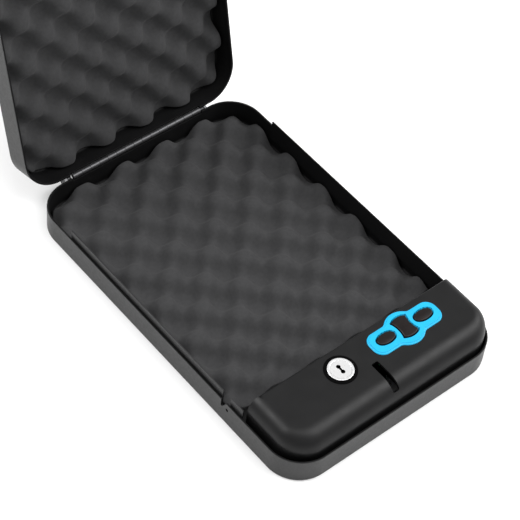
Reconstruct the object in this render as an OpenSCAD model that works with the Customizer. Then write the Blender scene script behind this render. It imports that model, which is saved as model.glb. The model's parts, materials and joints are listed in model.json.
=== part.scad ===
// Compact hinged gun safe with a front lock housing, three-key keypad and key lock.
// Origin: centre of the base underside. +X right, -Y front (keypad end), +Y hinge, +Z up.
// The lid is drawn closed by its module and swung open about the hinge pin.

/* [Case] */
// Width of the case, left to right
body_w = 194; // [190:1:200]
// Depth of the case, front to hinge
body_d = 300; // [296:1:306]
// Height of the base tray
base_h = 21; // [20.5:0.5:22]
// Height of the lid
lid_h = 21; // [20:0.5:24]
// Corner radius of base and lid, seen from above
corner_r = 27; // [25:1:30]
// Thickness of the steel walls and of the lid's top
wall_t = 1.5; // [1.2:0.1:1.6]
// Thickness of the base floor
floor_t = 1.6; // [1.5:0.1:1.8]
// Gap between the two rims when the lid is shut
rim_gap = 0.6; // [0.5:0.1:0.9]
// How far the lid stands open, in degrees from shut
open_angle = 103.8; // [0:0.1:103.8]

/* [Guard strips] */
// Height of the strips above the base rim
strip_rise = 6.5; // [4:0.5:7]
// Thickness of a strip above the rim
strip_t = 1; // [0.8:0.1:1.2]
// Rear end of both long strips, from the centre
strip_rear = 104; // [90:1:115]
// Front end of the left long strip, from the centre
strip_front = -71; // [-71:1:-50]

/* [Lock housing] */
// Width of the lock housing
housing_w = 186.8; // [184:0.2:187]
// Centre of the housing, left to right
housing_x = 1.4; // [0:0.2:1.4]
// Front face of the housing, from the centre
housing_front = -146; // [-146.5:0.5:-145.5]
// Rear face of the housing, from the centre
housing_rear = -93; // [-93:0.5:-92]
// Top face of the housing above the base underside
housing_top = 37.5; // [37:0.5:38]
// Wall thickness of the moulded housing
housing_t = 2; // [1.6:0.2:2]
// Corner radius of the housing, seen from above
housing_corner_r = 23; // [20:1:25]
// Edge radius along the front top edge
front_edge_r = 15; // [10:1:16]
// Edge radius along the left top edge
side_edge_r = 11.5; // [8:0.5:12]
// Edge radius along the right top edge
right_edge_r = 9; // [6:0.5:12]

/* [Keypad] */
// Centre of the keypad, left to right
keypad_x = 36.5; // [36:0.5:38]
// Centre of the keypad, front to back
keypad_y = -108.2; // [-108.6:0.2:-108]
// Length of the bezel
bezel_l = 62.2; // [62:0.2:64]
// Width of the bezel's two ends
bezel_w = 20; // [18:1:21]
// Radius of the bezel's round middle
bezel_mid_r = 14.8; // [14.6:0.2:15.6]
// Height of the bezel above the housing
bezel_rise = 1.2; // [0.8:0.2:1.6]
// Travel of a key
key_travel = 0.8; // [0.4:0.1:0.8]

/* [Key lock] */
// Centre of the key lock, left to right
lock_x = -24.2; // [-26:0.2:-24]
// Centre of the key lock, front to back
lock_y = -109.6; // [-110.4:0.2:-109.6]
// Radius of the lock's bright face
lock_face_r = 9.5; // [9:0.1:10]
// Outer radius of the black ring
lock_ring_r = 12; // [11.5:0.1:12.5]
// Radius of the turning plug
plug_r = 7.65; // [7:0.05:7.8]
// Travel of the latch bolt
latch_travel = 9; // [8.5:0.1:9]

/* [Hinge] */
// Length of the row of knuckles
hinge_l = 120; // [105:15:120]
// Number of knuckles
knuckle_n = 15; // [11:2:17]
// Radius of the hinge pin
pin_r = 1; // [0.9:0.05:1]
// Thickness of the hinge leaves
leaf_t = 1; // [0.8:0.1:1]

/* [Foam] */
// Thickness of the foam at its bumps
foam_t = 13; // [10:0.5:13.5]

/* [Fixing holes] */
// Hole spacing across the floor
bolt_dx = 140; // [120:5:150]
// Hole spacing front to back
bolt_dy = 150; // [130:5:150]
// Radius of the fixing holes
bolt_hole_r = 3.25; // [2.75:0.25:3.5]

/* [Hidden] */
$fn = 64;
eps = 0.01;
fit = 0.02;

steel_black = [0.13, 0.13, 0.135];
steel_inner = [0.09, 0.09, 0.095];
plastic_black = [0.10, 0.10, 0.105];
rubber_black = [0.12, 0.11, 0.11];
foam_grey = [0.17, 0.17, 0.175];
bright_metal = [0.78, 0.78, 0.80];
hinge_grey = [0.45, 0.45, 0.46];
bezel_cyan = [0.13, 0.76, 0.95];
board_green = [0.08, 0.30, 0.16];
copper = [0.72, 0.42, 0.22];

lid_z = base_h + rim_gap;
lid_top = lid_z + lid_h;
inner_x = body_w / 2 - wall_t;
inner_y = body_d / 2 - wall_t;

pin_y = body_d / 2 + 0.8;
pin_z = base_h + rim_gap / 2;
barrel_r = pin_r + 0.05 + leaf_t;
barrel_relief = barrel_r + 0.35;
knuckle_pitch = hinge_l / knuckle_n;
knuckle_gap = 0.2;
leaf_gap = barrel_r + 0.25;
leaf_h = 11;
rivet_r = 1.5;
rivet_head_r = 3;
rivet_head_t = 0.7;
rivet_sink_r = 2.7;
rivet_sink_t = 1;
rivet_n = 4;
rivet_pitch = hinge_l / rivet_n;
rivet_drop = 5.5;
lug_w = 6;
lug_reach = 8;
lug_gap = 0.12;

strip_x = inner_x - 0.6;
strip_foot_z = base_h - 11;
strip_foot_top = base_h - 2;
tab_rear = -79.2;
tab_front = -92;

notch_rear = -72;
notch_front = -77.2;
notch_depth = 6.6;
tether_hole_y = -78.6;
tether_hole_z = 15.4;
tether_hole_r = 1.3;

housing_inner_top = housing_top - housing_t;
screw_r = 1.5;
screw_head_r = 2.8;
screw_hole_r = screw_r + fit;
boss_r = 4;
front_boss = [80, -129];
rear_boss_y = housing_rear - housing_t - 3.5;
rear_bosses = [-80, 26];
rear_boss_top = 30;
housing_screw_l = 9;

slot_left = -4.4;
slot_right = 1.5;
slot_rear = -118.7;
slot_front = -143;

// Keypad stack, from the keys down to the board
bezel_top = housing_top + bezel_rise;
bezel_end_r = 8;
bezel_shift = [-0.7, -0.8];
key_dx = 17.53;
key_half_l = 7.8;
key_half_w = 4.35;
key_gap = 1;
key_top = bezel_top + key_travel;
flange_t = 0.8;
flange_rim = 1.4;
centre_flange = [15.4, 22];
flange_top = housing_inner_top - 0.1;
board_t = 1.6;
board_top = housing_inner_top - 3.1;
dome_h = 0.9;
dome_r = 3;
stem_r = 1.5;
stem_bottom = board_top + dome_h + 0.1;
bezel_plug_l = 56;
bezel_plug_w = 14.4;
bezel_plug_r = 12;
bezel_plug_end_r = bezel_plug_w / 2 - 0.2;
board_l = 65;
board_w = 26;
board_post_r = 3;
board_posts = [[-28.5, 9.2], [28.5, -9.8]];
board_screw_r = 0.9;

// Key lock
barrel_top = housing_top + 1;
barrel_bottom = 16.8;
plug_clear = 0.05;
plug_top = barrel_top - 0.1;
keyhole_reach = 2.5;
keyhole_end_r = 1.6;
keyhole_w = 1.7;
keyhole_depth = 12;
cam_top = barrel_bottom - 0.4;
cam_bottom = cam_top - 3;
cam_r = 8.6;
drive_r = 1.5;
drive_arm = latch_travel / 2 / sin(45);
drive_bottom = cam_bottom - 3;
cam_screw_head_r = 2.5;
cam_screw_head_t = 1.1;
nut_t = 3.4;
nut_r = 13;

// Latch: a bevelled bolt that slides through the lid's striker
bolt_tip = 5;
bolt_tail = -16;
bolt_y = -130;
bolt_w = 6;
bolt_bottom = 9;
bolt_h = 8;
slide_gap = 0.15;
arm_left = -34;
arm_bottom = 11;
arm_t = 2;
arm_rear = -111;
tab_t = 2;
tab_top = 23;
plunger_z = 18;
plunger_r = 3.5;
plunger_l = 28;

guide_l = 8;
guide_left = -14;
guide_w = 14;
guide_top = 20;
keeper_left = 2.5;
keeper_l = 6.5;
guide_foot_t = 2;

coil_left = -74;
coil_l = 24;
coil_r = 8;
coil_bore = plunger_r + 0.1;
frame_t = 1.5;
frame_w = 17;
frame_top = 27;

spring_wire = 0.4;
spring_r = 4.7;
spring_turns = 6;
spring_steps = 20;
spring_sides = 8;

striker_t = 3;
striker_rear = -120;
striker_front = -141;
striker_bottom = 4.5;
striker_foot_l = 10;
striker_foot_t = 1.5;
window_rear = bolt_y + 4.5;
window_front = bolt_y - 4.5;
window_bottom = bolt_bottom - 0.5;
window_top = bolt_bottom + bolt_h + 1;

// Battery compartment
battery = [46, 26, 17];
battery_x = 38.5;
battery_z = 12.5;
battery_rear = housing_rear - housing_t - 0.2;
terminal_r = 3;
terminal_l = 2.4;
terminal_dy = 6.4;
snap_t = 3.6;
tray_t = 1.2;
tray_wall_h = 9;
door = [51, 1.5, 18];
door_x = 35.4;
door_z = 12.5;
door_gap = 0.25;
door_grip = [18, 0.8, 2];

// both foams end behind the housing, which leaves room to pull out the battery door
foam_front = housing_rear + 14;
foam_side = 1.9;
foam_rear = inner_y - 1.5;
foam_corner_r = 24;
pocket_r = 8;
pocket_h = 6;

lid_window_gap = 2.5;
lid_lock_hole_r = lock_ring_r + 2;

// ---------- outlines ----------

// Rectangle centred on the origin with four round corners
module round_rect(w, d, r) {
    union() {
        square([w - 2 * r, d], center = true);
        square([w, d - 2 * r], center = true);
        for (sx = [-1, 1], sy = [-1, 1])
            translate([sx * (w / 2 - r), sy * (d / 2 - r)]) circle(r);
    }
}

// Keypad outline: a long bar with round corners and a round middle
module keypad_outline(l, w, end_r, mid_r) {
    union() {
        round_rect(l, w, end_r);
        circle(mid_r);
    }
}

// End key: a bar with half-round ends
module end_key_outline(grow) {
    half_l = key_half_l + grow;
    half_w = key_half_w + grow;
    round_rect(2 * half_l, 2 * half_w, half_w - 0.05);
}

// Middle key: bowed top and bottom, waisted sides
module centre_key_outline(grow) {
    half_w = 7.4 + grow;
    bow_r = 13 + grow;
    bow_shift = 3.9;
    waist_r = 19.7 - grow;
    waist_shift = 25;
    difference() {
        intersection() {
            square([2 * half_w, 40], center = true);
            translate([0, -bow_shift]) circle(bow_r);
            translate([0, bow_shift]) circle(bow_r);
        }
        for (side = [-1, 1]) translate([side * waist_shift, 0]) circle(waist_r);
    }
}

// Rectangle with round front corners only, for the housing
module housing_plan(inset) {
    w = housing_w - 2 * inset;
    r = housing_corner_r - inset;
    front = housing_front + inset;
    rear = housing_rear - inset;
    translate([housing_x, 0]) union() {
        translate([-w / 2, front + r]) square([w, rear - front - r]);
        translate([-w / 2 + r, front]) square([w - 2 * r, r + 1]);
        for (side = [-1, 1]) translate([side * (w / 2 - r), front + r]) circle(r);
    }
}

// Rectangle from the floor to the top with its top front corner rounded
module edge_profile(depth, top, r) {
    union() {
        square([depth, top - r]);
        translate([r, 0]) square([depth - r, top]);
        translate([r, top - r]) circle(r);
    }
}

// Solid form of the housing, drawn in by inset on every side but the bottom
module housing_form(inset, bottom) {
    top = housing_top - inset - bottom;
    w = housing_w - 2 * inset;
    depth = housing_rear - housing_front - 2 * inset;
    left_r = side_edge_r - inset;
    right_r = right_edge_r - inset;
    intersection() {
        translate([0, 0, bottom]) linear_extrude(top) housing_plan(inset);
        translate([housing_x - housing_w / 2, housing_front + inset, bottom])
            rotate([90, 0, 90]) linear_extrude(housing_w)
                edge_profile(depth, top, front_edge_r - inset);
        translate([housing_x, housing_rear, bottom]) rotate([90, 0, 0])
            linear_extrude(housing_rear - housing_front) union() {
                translate([-w / 2, 0]) square([w, top - max(left_r, right_r)]);
                translate([-w / 2 + left_r, 0]) square([w - left_r - right_r, top]);
                translate([-w / 2 + left_r, top - left_r]) circle(left_r);
                translate([w / 2 - right_r, top - right_r]) circle(right_r);
                translate([w / 2 - right_r, 0]) square([right_r, top - right_r]);
            }
    }
}

// Places its children at a point of the keypad
module at_keypad(dx, z) {
    translate([keypad_x + dx, keypad_y, z]) children();
}

// Swings a part of the lid from shut to its open place
module swung_open() {
    translate([0, pin_y, pin_z]) rotate([-open_angle, 0, 0]) translate([0, -pin_y, -pin_z])
        children();
}

// Cylinder along X
module rod_x(r, l) {
    rotate([0, 90, 0]) cylinder(r = r, h = l);
}

// Cylinder along +Y
module rod_y(r, l) {
    rotate([-90, 0, 0]) cylinder(r = r, h = l);
}

// Countersunk screw with its flat head down, at the underside of the floor
module floor_screw(l) {
    head_t = floor_t - 0.3;
    union() {
        translate([0, 0, 0.1]) cylinder(r1 = screw_head_r, r2 = screw_r, h = head_t);
        translate([0, 0, 0.1 + head_t - eps]) cylinder(r = screw_r, h = l - head_t);
    }
}

// Hole for that screw
module floor_screw_hole() {
    translate([0, 0, -eps]) cylinder(r1 = screw_head_r + 0.15, r2 = screw_hole_r, h = floor_t - 0.15);
    cylinder(r = screw_hole_r, h = floor_t + 1);
}

module at_housing_screws() {
    for (side = [-1, 1]) translate([side * front_boss[0], front_boss[1], 0]) children();
    for (x = rear_bosses) translate([x, rear_boss_y, 0]) children();
}

module at_guide_screws() {
    for (x = [guide_left + guide_l / 2, keeper_left + keeper_l / 2]) translate([x, bolt_y, 0]) children();
}

module at_bolt_holes() {
    for (sx = [-1, 1], sy = [-1, 1]) translate([sx * bolt_dx / 2, sy * bolt_dy / 2, 0]) children();
}

// Hole for a rivet whose head is sunk into the inside of the wall
module rivet_hole() {
    translate([0, -1, 0]) rod_y(rivet_r + fit, wall_t + 2);
    translate([0, -eps, 0]) rotate([-90, 0, 0])
        cylinder(r1 = rivet_sink_r + 0.2, r2 = rivet_r + fit, h = rivet_sink_t + 0.15);
}

module at_rivets(z) {
    for (i = [0 : rivet_n - 1])
        translate([(i - (rivet_n - 1) / 2) * rivet_pitch, 0, z]) children();
}

// ---------- base ----------

module base_shell() {
    color(steel_black) difference() {
        linear_extrude(base_h) round_rect(body_w, body_d, corner_r);
        translate([0, 0, floor_t]) linear_extrude(base_h)
            round_rect(2 * inner_x, 2 * inner_y, corner_r - wall_t);
        // relief for the hinge barrel in the rear rim
        translate([-hinge_l / 2 - 0.5, inner_y - 1, pin_z - barrel_relief])
            cube([hinge_l + 1, wall_t + 2, 2 * barrel_relief]);
        // cable notch in the left rim, with one upright and one sloping side
        translate([-body_w / 2 - 1, 0, 0]) rotate([90, 0, 90]) linear_extrude(wall_t + 2)
            polygon([
                [notch_rear, base_h + 1], [notch_rear, base_h - notch_depth],
                [notch_rear - 1.4, base_h - notch_depth], [notch_front, base_h],
                [notch_front, base_h + 1]
            ]);
        translate([-body_w / 2 - 1, tether_hole_y, tether_hole_z]) rod_x(tether_hole_r, wall_t + 2);
        at_bolt_holes() translate([0, 0, -1]) cylinder(r = bolt_hole_r, h = floor_t + 2);
        at_housing_screws() floor_screw_hole();
        at_guide_screws() floor_screw_hole();
        at_rivets(pin_z - leaf_gap - rivet_drop) translate([0, inner_y, 0]) rivet_hole();
    }
}

// Upright strip: a thick foot against the wall, a thin blade standing above the rim
module guard_strip(side, front, rear) {
    l = rear - front;
    mirror([side > 0 ? 0 : 1, 0, 0]) union() {
        translate([strip_x - strip_t, front, strip_foot_z])
            cube([strip_t, l, base_h + strip_rise - strip_foot_z]);
        translate([strip_x - strip_t, front, strip_foot_z])
            cube([inner_x - strip_x + strip_t, l, strip_foot_top - strip_foot_z]);
    }
}

module guard_strip_left() {
    color(steel_black) guard_strip(-1, strip_front, strip_rear);
}

module guard_tab_left() {
    color(steel_black) guard_strip(-1, tab_front, tab_rear);
}

module guard_strip_right() {
    color(steel_black) guard_strip(1, tab_front, strip_rear);
}

// Foam block with round rear corners and square front ones
module foam_block() {
    half_w = inner_x - foam_side;
    r = foam_corner_r;
    linear_extrude(foam_t) union() {
        translate([-half_w, foam_front]) square([2 * half_w, foam_rear - r - foam_front]);
        translate([-half_w + r, foam_front]) square([2 * (half_w - r), foam_rear - foam_front]);
        for (side = [-1, 1]) translate([side * (half_w - r), foam_rear - r]) circle(r);
    }
}

module base_foam() {
    color(foam_grey) difference() {
        translate([0, 0, floor_t]) foam_block();
        // pockets underneath for the heads of the fixing bolts
        at_bolt_holes() translate([0, 0, floor_t - 1]) cylinder(r = pocket_r, h = pocket_h + 1);
    }
}

// ---------- lock housing ----------

module lock_housing() {
    color(plastic_black) difference() {
        union() {
            difference() {
                housing_form(0, floor_t);
                housing_form(housing_t, floor_t - 1);
            }
            // screw bosses
            for (side = [-1, 1]) translate([side * front_boss[0], front_boss[1], floor_t])
                cylinder(r = boss_r, h = housing_inner_top - floor_t);
            for (x = rear_bosses) translate([x, rear_boss_y, floor_t])
                cylinder(r = boss_r, h = rear_boss_top - floor_t);
            // posts that carry the keypad board
            for (p = board_posts) at_keypad(p[0], board_top) translate([0, p[1], 0])
                cylinder(r = board_post_r, h = housing_inner_top - board_top + eps);
        }
        at_housing_screws() translate([0, 0, floor_t - 1])
            cylinder(r = screw_hole_r, h = housing_screw_l + 2);
        for (p = board_posts) at_keypad(p[0], board_top - 1) translate([0, p[1], 0])
            cylinder(r = board_screw_r + fit, h = 3.6);
        // slot for the lid's striker
        translate([slot_left, slot_front, floor_t + 18])
            cube([slot_right - slot_left, slot_rear - slot_front, housing_top]);
        // hole for the key lock
        translate([lock_x, lock_y, housing_inner_top - 1])
            cylinder(r = lock_face_r + fit, h = housing_t + 2);
        // opening under the keypad bezel
        at_keypad(0, housing_inner_top - 1) linear_extrude(housing_t + 2)
            keypad_outline(bezel_plug_l, bezel_plug_w, bezel_plug_end_r, bezel_plug_r);
        // opening for the battery door
        translate([door_x - door_gap, housing_rear - housing_t - 1, door_z - door_gap])
            cube([door[0] + 2 * door_gap, housing_t + 2, door[2] + 2 * door_gap]);
    }
}

module housing_screws() {
    color(bright_metal) at_housing_screws() floor_screw(housing_screw_l);
}

// ---------- keypad ----------

module keypad_bezel() {
    color(bezel_cyan) difference() {
        union() {
            at_keypad(0, housing_top) translate(bezel_shift) linear_extrude(bezel_rise)
                keypad_outline(bezel_l, bezel_w, bezel_end_r, bezel_mid_r);
            at_keypad(0, housing_inner_top) linear_extrude(housing_t + eps)
                keypad_outline(bezel_plug_l - 2 * fit, bezel_plug_w - 2 * fit,
                    bezel_plug_end_r - fit, bezel_plug_r - fit);
        }
        at_keypad(0, housing_inner_top - 1) linear_extrude(housing_t + bezel_rise + 2) {
            centre_key_outline(key_gap);
            for (side = [-1, 1]) translate([side * key_dx, 0]) end_key_outline(key_gap);
        }
    }
}

module keypad_board() {
    color(board_green) difference() {
        union() {
            at_keypad(0, board_top - board_t) linear_extrude(board_t) round_rect(board_l, board_w, 2);
            // control chip and battery lead socket, soldered underneath
            at_keypad(-20, board_top - board_t - 1.4) translate([-5, -6, 0]) cube([10, 12, 1.4 + eps]);
            at_keypad(-10.5, board_top - board_t - 3) translate([0, -8, 0]) cube([5, 7, 3 + eps]);
        }
        for (p = board_posts) at_keypad(p[0], board_top - board_t - 1) translate([0, p[1], 0])
            cylinder(r = board_screw_r + 0.2, h = board_t + 2);
    }
}

module board_screws() {
    color(bright_metal) for (p = board_posts) at_keypad(p[0], board_top - board_t)
        translate([0, p[1], 0]) union() {
            translate([0, 0, -1]) cylinder(r = 1.9, h = 1);
            translate([0, 0, -eps]) cylinder(r = board_screw_r, h = board_t + 2.4);
        }
}

module dome_switches() {
    color(bright_metal) for (i = [-1, 0, 1]) at_keypad(i * key_dx, board_top)
        cylinder(r1 = dome_r, r2 = dome_r - 1, h = dome_h);
}

// Key: a cap through the bezel, a flange that holds it in, a stem over its dome
module key(dx, centre) {
    at_keypad(dx, 0) union() {
        translate([0, 0, flange_top - eps]) linear_extrude(key_top - flange_top + eps)
            if (centre) centre_key_outline(0); else end_key_outline(0);
        translate([0, 0, flange_top - flange_t]) linear_extrude(flange_t)
            if (centre) square(centre_flange, center = true); else end_key_outline(flange_rim);
        translate([0, 0, stem_bottom]) cylinder(r = stem_r, h = flange_top - stem_bottom - 0.2);
    }
}

module key_left() {
    color(rubber_black) key(-key_dx, false);
}

module key_centre() {
    color(rubber_black) key(0, true);
}

module key_right() {
    color(rubber_black) key(key_dx, false);
}

// ---------- key lock ----------

module lock_ring() {
    color(rubber_black) translate([lock_x, lock_y, housing_top]) difference() {
        cylinder(r = lock_ring_r, h = 0.5);
        translate([0, 0, -1]) cylinder(r = lock_face_r + fit, h = 3);
    }
}

module lock_barrel() {
    color(bright_metal) translate([lock_x, lock_y, 0]) difference() {
        translate([0, 0, barrel_bottom]) cylinder(r = lock_face_r, h = barrel_top - barrel_bottom);
        cylinder(r = plug_r + plug_clear, h = barrel_top + 1);
    }
}

module lock_nut() {
    color(bright_metal) translate([lock_x, lock_y, housing_inner_top - nut_t]) difference() {
        cylinder(r = nut_r, h = nut_t, $fn = 6);
        translate([0, 0, -1]) cylinder(r = lock_face_r + fit, h = nut_t + 2);
    }
}

// Turning plug with a keyhole of two round ends joined by a narrow waist
module lock_plug() {
    color(bright_metal) translate([lock_x, lock_y, 0]) difference() {
        translate([0, 0, cam_top]) cylinder(r = plug_r, h = plug_top - cam_top);
        for (s = [-1, 1]) translate([0, s * keyhole_reach, plug_top - keyhole_depth])
            cylinder(r = keyhole_end_r, h = keyhole_depth + 1);
        translate([-keyhole_w / 2, -keyhole_reach, plug_top - keyhole_depth])
            cube([keyhole_w, 2 * keyhole_reach, keyhole_depth + 1]);
        translate([0, 0, cam_top - 1]) cylinder(r = screw_hole_r, h = 7);
    }
}

// Cam on the plug's lower end; its drive pin moves the latch arm
module lock_cam() {
    color(bright_metal) translate([lock_x, lock_y, 0]) difference() {
        union() {
            translate([0, 0, cam_bottom]) cylinder(r = cam_r, h = cam_top - cam_bottom);
            rotate([0, 0, -45]) translate([drive_arm, 0, drive_bottom])
                cylinder(r = drive_r, h = cam_bottom - drive_bottom + 1);
        }
        translate([0, 0, cam_bottom - 1]) cylinder(r = screw_hole_r, h = cam_top);
        translate([0, 0, cam_bottom - 1]) cylinder(r = cam_screw_head_r + fit, h = 1 + cam_screw_head_t + 0.1);
    }
}

module cam_screw() {
    color(bright_metal) translate([lock_x, lock_y, cam_bottom + 0.1]) union() {
        cylinder(r = cam_screw_head_r, h = cam_screw_head_t);
        translate([0, 0, cam_screw_head_t - eps]) cylinder(r = screw_r, h = 6);
    }
}

// ---------- latch ----------

module latch_bolt() {
    slot_x = lock_x + latch_travel / 2;
    slot_far = lock_y - drive_arm - drive_r - 0.35;
    slot_near = lock_y - drive_arm * cos(45) + drive_r + 0.35;
    color(bright_metal) difference() {
        union() {
            translate([bolt_tail, bolt_y - bolt_w / 2, bolt_bottom])
                cube([bolt_tip - bolt_tail, bolt_w, bolt_h]);
            translate([arm_left, bolt_y - bolt_w / 2, arm_bottom])
                cube([bolt_tail - arm_left + eps, arm_rear - bolt_y + bolt_w / 2, arm_t]);
            translate([arm_left, bolt_y - 4, arm_bottom]) cube([tab_t, 8, tab_top - arm_bottom]);
        }
        // bevel that lets the striker push the bolt back as the lid shuts
        translate([bolt_tip, bolt_y, bolt_bottom + 1]) rotate([0, -45, 0])
            translate([0, -bolt_w, 0]) cube([20, 2 * bolt_w, 20]);
        // slot for the cam's drive pin
        translate([slot_x - drive_r - 0.3, slot_far, arm_bottom - 1])
            cube([2 * drive_r + 0.6, slot_near - slot_far, arm_t + 2]);
        // hole for the plunger's rivet end
        translate([arm_left - 1, bolt_y, plunger_z]) rod_x(2 + fit, tab_t + 2);
    }
}

// Guide block, keeper block and the foot that joins them under the striker
module latch_guide() {
    color(steel_inner) difference() {
        union() {
            translate([guide_left, bolt_y - guide_w / 2, floor_t])
                cube([guide_l, guide_w, guide_top - floor_t]);
            translate([keeper_left, bolt_y - guide_w / 2, floor_t])
                cube([keeper_l, guide_w, guide_top - floor_t]);
            translate([guide_left, bolt_y - guide_w / 2, floor_t])
                cube([keeper_left + keeper_l - guide_left, guide_w, guide_foot_t]);
        }
        translate([guide_left - 1, bolt_y - bolt_w / 2 - slide_gap, bolt_bottom - slide_gap])
            cube([keeper_left + keeper_l - guide_left + 2, bolt_w + 2 * slide_gap, bolt_h + 2 * slide_gap]);
        at_guide_screws() translate([0, 0, floor_t - 1]) cylinder(r = screw_hole_r, h = 7.2);
    }
}

module guide_screws() {
    color(bright_metal) at_guide_screws() floor_screw(7);
}

module solenoid_frame() {
    right = coil_left + coil_l;
    color(steel_inner) difference() {
        union() {
            translate([coil_left - frame_t, bolt_y - frame_w / 2, floor_t])
                cube([coil_l + 2 * frame_t, frame_w, frame_t]);
            for (x = [coil_left - frame_t, right])
                translate([x, bolt_y - frame_w / 2, floor_t]) cube([frame_t, frame_w, frame_top - floor_t]);
        }
        translate([coil_left - frame_t - 1, bolt_y, plunger_z]) rod_x(coil_bore + 0.3, coil_l + 2 * frame_t + 2);
    }
}

module solenoid_coil() {
    color(copper) translate([coil_left, bolt_y, plunger_z]) difference() {
        union() {
            translate([0.8, 0, 0]) rod_x(coil_r - 1, coil_l - 1.6);
            rod_x(coil_r, 1);
            translate([coil_l - 1, 0, 0]) rod_x(coil_r, 1);
        }
        translate([-1, 0, 0]) rod_x(coil_bore, coil_l + 2);
    }
}

module solenoid_plunger() {
    color(bright_metal) translate([0, bolt_y, plunger_z]) union() {
        translate([arm_left - plunger_l, 0, 0]) rod_x(plunger_r, plunger_l);
        translate([arm_left - eps, 0, 0]) rod_x(2, tab_t + 0.4);
    }
}

function ring_point(turn, side, pitch) =
    let (a = 360 * turn, b = 360 * side / spring_sides, r = spring_r + spring_wire * cos(b))
    [pitch * turn + spring_wire * sin(b), r * cos(a), r * sin(a)];

// Coil spring round the plunger, between the latch tab and the solenoid
module return_spring() {
    left = coil_left + coil_l + frame_t + spring_wire + 0.02;
    right = arm_left - spring_wire - 0.02;
    pitch = (right - left) / spring_turns;
    rings = spring_turns * spring_steps;
    points = [for (i = [0 : rings], j = [0 : spring_sides - 1]) ring_point(i / spring_steps, j, pitch)];
    sides = [for (i = [0 : rings - 1], j = [0 : spring_sides - 1])
        let (a = i * spring_sides + j, b = i * spring_sides + (j + 1) % spring_sides)
        [a, b, b + spring_sides, a + spring_sides]];
    start_cap = [for (j = [spring_sides - 1 : -1 : 0]) j];
    end_cap = [for (j = [0 : spring_sides - 1]) rings * spring_sides + j];
    color(bright_metal) translate([left, bolt_y, plunger_z])
        polyhedron(points = points, faces = concat(sides, [start_cap, end_cap]));
}

// ---------- battery ----------

module battery_tray() {
    l = battery[0] + snap_t + 2.6;
    w = battery[1] + 2.4;
    x0 = battery_x - snap_t - 1.3;
    y0 = battery_rear - w;
    color(plastic_black) union() {
        translate([x0, y0, battery_z - tray_t - 0.1]) cube([l, w, tray_t]);
        translate([x0, y0, battery_z - tray_t - 0.1]) cube([l, tray_t, tray_wall_h]);
        for (x = [x0 - tray_t + eps, x0 + l - eps]) translate([x, y0, battery_z - tray_t - 0.1])
            cube([tray_t, w, tray_wall_h]);
        for (y = [y0 + 3, y0 + w - 8]) translate([x0, y, floor_t])
            cube([l, 2, battery_z - tray_t - floor_t]);
    }
}

module battery() {
    mid_y = battery_rear - 0.6 - battery[1] / 2;
    mid_z = battery_z + battery[2] / 2;
    color(steel_inner) union() {
        translate([battery_x, battery_rear - 0.6 - battery[1], battery_z]) cube(battery);
        for (s = [-1, 1]) translate([battery_x - terminal_l, mid_y + s * terminal_dy, mid_z])
            rod_x(terminal_r, terminal_l + eps);
    }
}

module battery_snap() {
    mid_y = battery_rear - 0.6 - battery[1] / 2;
    mid_z = battery_z + battery[2] / 2;
    color(rubber_black) difference() {
        translate([battery_x - snap_t, mid_y - 12, mid_z - 7]) cube([snap_t - 0.3, 24, 14]);
        for (s = [-1, 1]) translate([battery_x - terminal_l - 0.1, mid_y + s * terminal_dy, mid_z])
            rod_x(terminal_r + 0.08, terminal_l + 1);
    }
}

module battery_door() {
    color(plastic_black) union() {
        translate([door_x, housing_rear - door[1], door_z]) cube(door);
        translate([door_x + (door[0] - door_grip[0]) / 2, housing_rear - eps, door_z + door[2] - 5])
            cube(door_grip);
    }
}

// ---------- hinge ----------

// Row of barrel knuckles, taking every second one from first
module knuckles(first) {
    for (i = [first : 2 : knuckle_n - 1])
        translate([-hinge_l / 2 + i * knuckle_pitch + knuckle_gap / 2, pin_y, pin_z])
            rod_x(barrel_r, knuckle_pitch - knuckle_gap);
}

// Webs that join a leaf's knuckles to its plate, above or below the pin
module knuckle_webs(first, up) {
    for (i = [first : 2 : knuckle_n - 1])
        translate([-hinge_l / 2 + i * knuckle_pitch + knuckle_gap / 2, body_d / 2,
            up ? pin_z + pin_r + 0.5 : pin_z - leaf_gap - 0.2])
            cube([knuckle_pitch - knuckle_gap, leaf_t, leaf_gap - pin_r - 0.3]);
}

module pin_bore() {
    translate([-hinge_l / 2 - 5, pin_y, pin_z]) rod_x(pin_r + 0.05, hinge_l + 10);
}

// Base leaf: plate on the rear wall with a stop lug at each end for the open lid
module hinge_leaf_base() {
    face_slope = tan(open_angle - 90);
    face_y = pin_y - 0.8 * cos(open_angle) + 0.3 * sin(open_angle);
    face_z = pin_z + 0.8 * sin(open_angle) + 0.3 * cos(open_angle) - lug_gap;
    lug_y = body_d / 2 + leaf_t + lug_reach;
    top = pin_z - leaf_gap;
    color(hinge_grey) difference() {
        union() {
            translate([-hinge_l / 2 - lug_w - 1, body_d / 2, top - leaf_h])
                cube([hinge_l + 2 * lug_w + 2, leaf_t, leaf_h]);
            knuckles(0);
            knuckle_webs(0, false);
            for (x = [-hinge_l / 2 - lug_w - 1, hinge_l / 2 + 1]) translate([x, 0, 0])
                rotate([90, 0, 90]) linear_extrude(lug_w) polygon([
                    [body_d / 2, top - leaf_h], [body_d / 2 + leaf_t, top - leaf_h],
                    [lug_y, face_z - (lug_y - face_y) * face_slope - 2],
                    [lug_y, face_z - (lug_y - face_y) * face_slope],
                    [face_y + 0.5, face_z - 0.5 * face_slope],
                    [body_d / 2, base_h - 0.2]
                ]);
        }
        pin_bore();
        at_rivets(top - rivet_drop) translate([0, body_d / 2 - 1, 0]) rod_y(rivet_r + fit, leaf_t + 2);
    }
}

module hinge_pin() {
    color(bright_metal) translate([-hinge_l / 2 - 0.3, pin_y, pin_z]) rod_x(pin_r, hinge_l + 0.6);
}

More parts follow.
